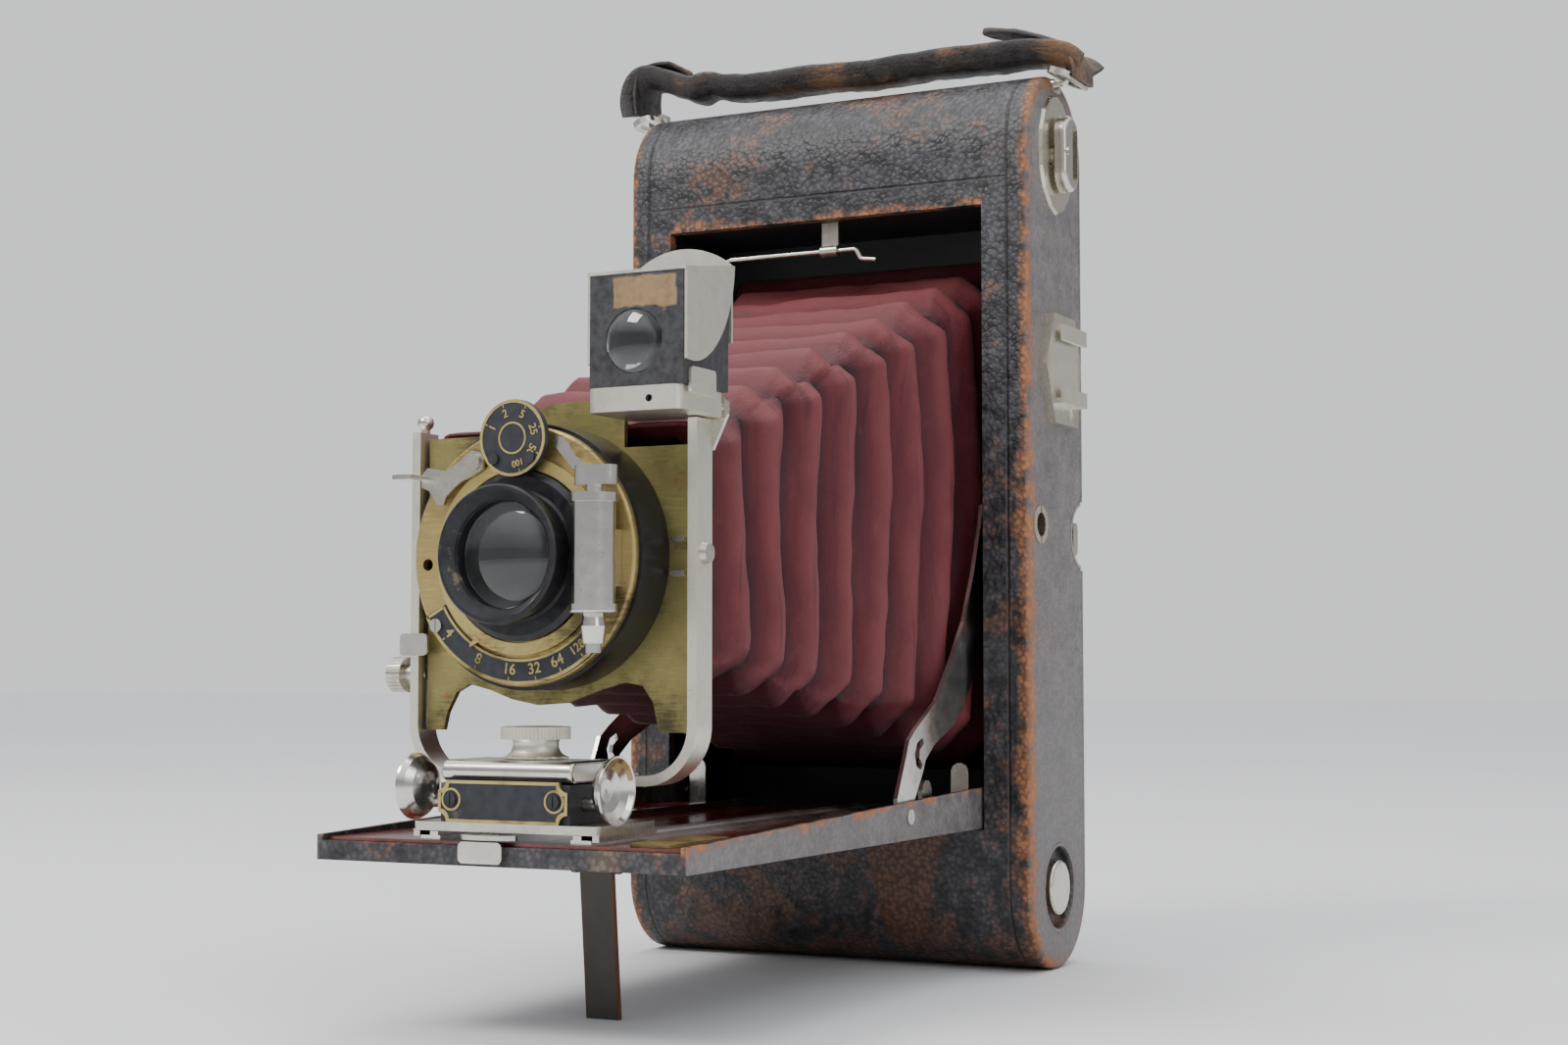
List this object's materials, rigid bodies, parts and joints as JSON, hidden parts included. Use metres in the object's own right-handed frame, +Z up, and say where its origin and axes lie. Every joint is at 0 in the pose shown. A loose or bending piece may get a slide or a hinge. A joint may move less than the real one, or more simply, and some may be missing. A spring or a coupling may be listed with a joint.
{
  "type": "folding bellows camera",
  "caption": "Folding roll-film camera with its bed open: leather case, tapered bellows, sliding lens standard with shutter, swivelling brilliant finder, folding bed leg.",
  "frame": {"origin": "bottom centre of the outline, on the surface that the camera stands on", "axes": "+Z up along the case, lens facing -Y, winding key on the +X side"},
  "size_m": [0.138, 0.203, 0.2584],
  "materials": {
    "case_leather": "fine pebble grain, worn at the edges",
    "bellows_leather": "matt maroon, pleated",
    "strap_leather": "worn black-brown",
    "nickel": "worn nickel plate",
    "brass": "brushed, tarnished",
    "black_enamel": "satin black",
    "mahogany": "polished",
    "spool_wood": "plain",
    "steel": "dull, rust at the edges",
    "glass": "polished",
    "red_glass": "ruby",
    "oxidised_brass": "dark scale with brass edge"
  },
  "bodies": {
    "case": {"case_body": "case_leather", "film_gate": "black_enamel", "winding_plate": "nickel", "pin_cups": "case_leather", "catch_cup": "nickel", "shoe_plate": "nickel", "accessory_shoe": "nickel", "tripod_bush": "nickel", "catch_wire": "nickel", "strap": "strap_leather", "strap_rings": "nickel", "bed_panel": "case_leather", "bed_inlay": "mahogany", "bed_rails": "nickel", "hinge_pins": "steel", "focus_scale": "oxidised_brass", "leg_bracket": "steel", "side_struts": "nickel", "strut_fittings": "nickel", "bellows": "bellows_leather"},
    "back": {"back_cover": "case_leather", "red_window": "red_glass"},
    "back_catch_slider": {"back_catch": "nickel"},
    "bed_catch_button": {"bed_catch": "nickel"},
    "lower_guide_roller": {"lower_roller": "nickel"},
    "upper_guide_roller": {"upper_roller": "nickel"},
    "supply": {"supply_spool": "spool_wood"},
    "take_up": {"take_up_spool": "spool_wood"},
    "key": {"winding_key": "nickel"},
    "lower_spool_pin": {"lower_pin": "nickel"},
    "far_lower_spool_pin": {"far_lower_pin": "nickel"},
    "far_upper_spool_pin": {"far_upper_pin": "nickel"},
    "leg": {"bed_leg": "steel"},
    "carriage": {"carriage_base": "nickel", "carriage_block": "black_enamel", "top_bar": "nickel", "name_plate": "oxidised_brass", "u_frame": "nickel", "frame_fittings": "nickel"},
    "left_finger_grip": {"left_grip": "nickel"},
    "right_finger_grip": {"right_grip": "nickel"},
    "clamp_screw": {"clamp_knob": "nickel"},
    "lens_panel": {"lens_board": "brass", "lens_screws": "nickel", "shutter_case": "black_enamel", "shutter_face": "brass", "lens_cells": "black_enamel", "lens_elements": "glass", "aperture_scale": "oxidised_brass", "bulb_cylinder": "nickel"},
    "rise_screw": {"rise_knob": "nickel"},
    "aperture_control": {"aperture_ring": "brass"},
    "speed_control": {"speed_dial": "oxidised_brass"},
    "release": {"release_lever": "nickel"},
    "shutter_blade_upper": {"upper_blade": "black_enamel"},
    "shutter_blade_lower": {"lower_blade": "black_enamel"},
    "bulb_release": {"bulb_piston": "nickel"},
    "finder": {"finder_body": "black_enamel", "finder_optics": "glass", "finder_frame": "nickel"}
  },
  "joints": [
    {"name": "back_lift", "type": "slide", "parent": "case", "child": "back", "axis": [0, 1, 0], "range_m": [0, 0.04]},
    {"name": "back_catch_slide", "type": "slide", "parent": "case", "child": "back_catch_slider", "axis": [0, 0, 1], "range_m": [0, 0.0025]},
    {"name": "bed_catch_press", "type": "slide", "parent": "case", "child": "bed_catch_button", "axis": [0, -1, 0], "range_m": [0, 0.0012], "stiffness_N_per_m": 300},
    {"name": "lower_roller_turn", "type": "hinge", "parent": "case", "child": "lower_guide_roller", "pos_m": [-0.00096, 0.09218, 0.0319], "axis": [1, 0, 0], "continuous": true},
    {"name": "upper_roller_turn", "type": "hinge", "parent": "case", "child": "upper_guide_roller", "pos_m": [-0.00096, 0.09218, 0.2093], "axis": [1, 0, 0], "continuous": true},
    {"name": "supply_spool_turn", "type": "hinge", "parent": "case", "child": "supply", "pos_m": [-0.00096, 0.07998, 0.0215], "axis": [1, 0, 0], "continuous": true},
    {"name": "winding_key_turn", "type": "hinge", "parent": "case", "child": "key", "pos_m": [0.05954, 0.07998, 0.2195], "axis": [1, 0, 0], "continuous": true},
    {"name": "take_up_spool_turn", "type": "hinge", "parent": "case", "child": "take_up", "pos_m": [-0.00096, 0.07998, 0.2195], "axis": [1, 0, 0], "continuous": true},
    {"name": "lower_pin_pull", "type": "slide", "parent": "case", "child": "lower_spool_pin", "axis": [1, 0, 0], "range_m": [0, 0.0054], "stiffness_N_per_m": 200},
    {"name": "far_lower_pin_pull", "type": "slide", "parent": "case", "child": "far_lower_spool_pin", "axis": [-1, 0, 0], "range_m": [0, 0.0054], "stiffness_N_per_m": 200},
    {"name": "far_upper_pin_pull", "type": "slide", "parent": "case", "child": "far_upper_spool_pin", "axis": [-1, 0, 0], "range_m": [0, 0.0054], "stiffness_N_per_m": 200},
    {"name": "leg_fold", "type": "hinge", "parent": "case", "child": "leg", "pos_m": [-0.00276, -0.05523, 0.0354], "axis": [1, 0, 0], "range_deg": [0, 86]},
    {"name": "standard_slide", "type": "slide", "parent": "case", "child": "carriage", "axis": [0, 1, 0], "range_m": [0, 0.155], "deforming": ["bellows"]},
    {"name": "left_grip_squeeze", "type": "slide", "parent": "carriage", "child": "left_finger_grip", "axis": [1, 0, 0], "range_m": [0, 0.0015], "stiffness_N_per_m": 300},
    {"name": "right_grip_squeeze", "type": "slide", "parent": "carriage", "child": "right_finger_grip", "axis": [-1, 0, 0], "range_m": [0, 0.0015], "stiffness_N_per_m": 300},
    {"name": "clamp_knob_turn", "type": "hinge", "parent": "carriage", "child": "clamp_screw", "pos_m": [-0.00096, -0.08403, 0.064], "axis": [0, 0, 1], "range_deg": [0, 180]},
    {"name": "lens_rise", "type": "slide", "parent": "carriage", "child": "lens_panel", "axis": [0, 0, 1], "range_m": [-0.0022, 0.0045]},
    {"name": "rise_knob_turn", "type": "hinge", "parent": "carriage", "child": "rise_screw", "pos_m": [-0.04266, -0.07552, 0.0784], "axis": [1, 0, 0], "range_deg": [-60, 60]},
    {"name": "aperture_ring_turn", "type": "hinge", "parent": "lens_panel", "child": "aperture_control", "pos_m": [-0.00096, -0.09052, 0.104], "axis": [0, -1, 0], "range_deg": [0, 66]},
    {"name": "speed_dial_turn", "type": "hinge", "parent": "lens_panel", "child": "speed_control", "pos_m": [-0.00096, -0.09302, 0.1293], "axis": [0, -1, 0], "range_deg": [0, 100]},
    {"name": "release_press", "type": "hinge", "parent": "lens_panel", "child": "release", "pos_m": [-0.01186, -0.09202, 0.1246], "axis": [0, -1, 0], "range_deg": [0, 10], "stiffness_Nm_per_rad": 0.02},
    {"name": "upper_blade_open", "type": "hinge", "parent": "lens_panel", "child": "shutter_blade_upper", "pos_m": [0.01704, -0.08472, 0.104], "axis": [0, -1, 0], "range_deg": [-35, 0]},
    {"name": "lower_blade_open", "type": "hinge", "parent": "lens_panel", "child": "shutter_blade_lower", "pos_m": [0.01704, -0.08422, 0.104], "axis": [0, -1, 0], "range_deg": [0, 35]},
    {"name": "bulb_piston_press", "type": "slide", "parent": "lens_panel", "child": "bulb_release", "axis": [0, 0, -1], "range_m": [0, 0.0015], "stiffness_N_per_m": 100},
    {"name": "finder_swivel", "type": "hinge", "parent": "carriage", "child": "finder", "pos_m": [0.03754, -0.07203, 0.1363], "axis": [0, -1, 0], "range_deg": [-90, 0]}
  ],
  "couplings": [
    {"joint": "take_up_spool_turn", "follows": "winding_key_turn", "ratio": 1},
    {"joint": "right_grip_squeeze", "follows": "left_grip_squeeze", "ratio": 1},
    {"joint": "rise_knob_turn", "follows": "lens_rise", "rad_per_m": 200},
    {"joint": "upper_blade_open", "follows": "release_press", "ratio": -3.4},
    {"joint": "lower_blade_open", "follows": "release_press", "ratio": 3.4}
  ]
}
